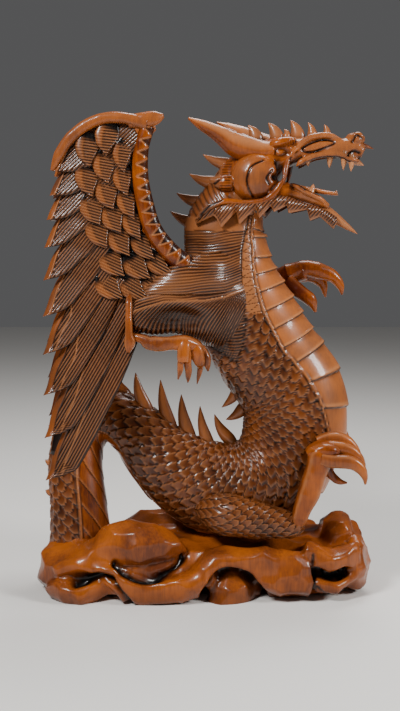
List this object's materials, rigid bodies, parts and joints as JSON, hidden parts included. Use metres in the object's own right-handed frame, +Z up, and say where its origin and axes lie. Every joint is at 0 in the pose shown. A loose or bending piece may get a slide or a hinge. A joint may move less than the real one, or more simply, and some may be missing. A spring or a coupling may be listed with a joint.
{
  "type": "wooden dragon carving",
  "caption": "Winged dragon carved from one block of polished wood, rearing on its rock base with open jaws; a free-standing ornament.",
  "frame": {"origin": "centre of the base's flat underside", "axes": "+Z up, +X the way the dragon faces, +Y towards its far (left) side"},
  "size_m": [0.3177, 0.1424, 0.4499],
  "materials": {
    "polished_wood": "stained and varnished hardwood, honey on worn high places, dark in the cuts"
  },
  "bodies": {
    "root": {"dragon_carving": "polished_wood"}
  },
  "joints": []
}
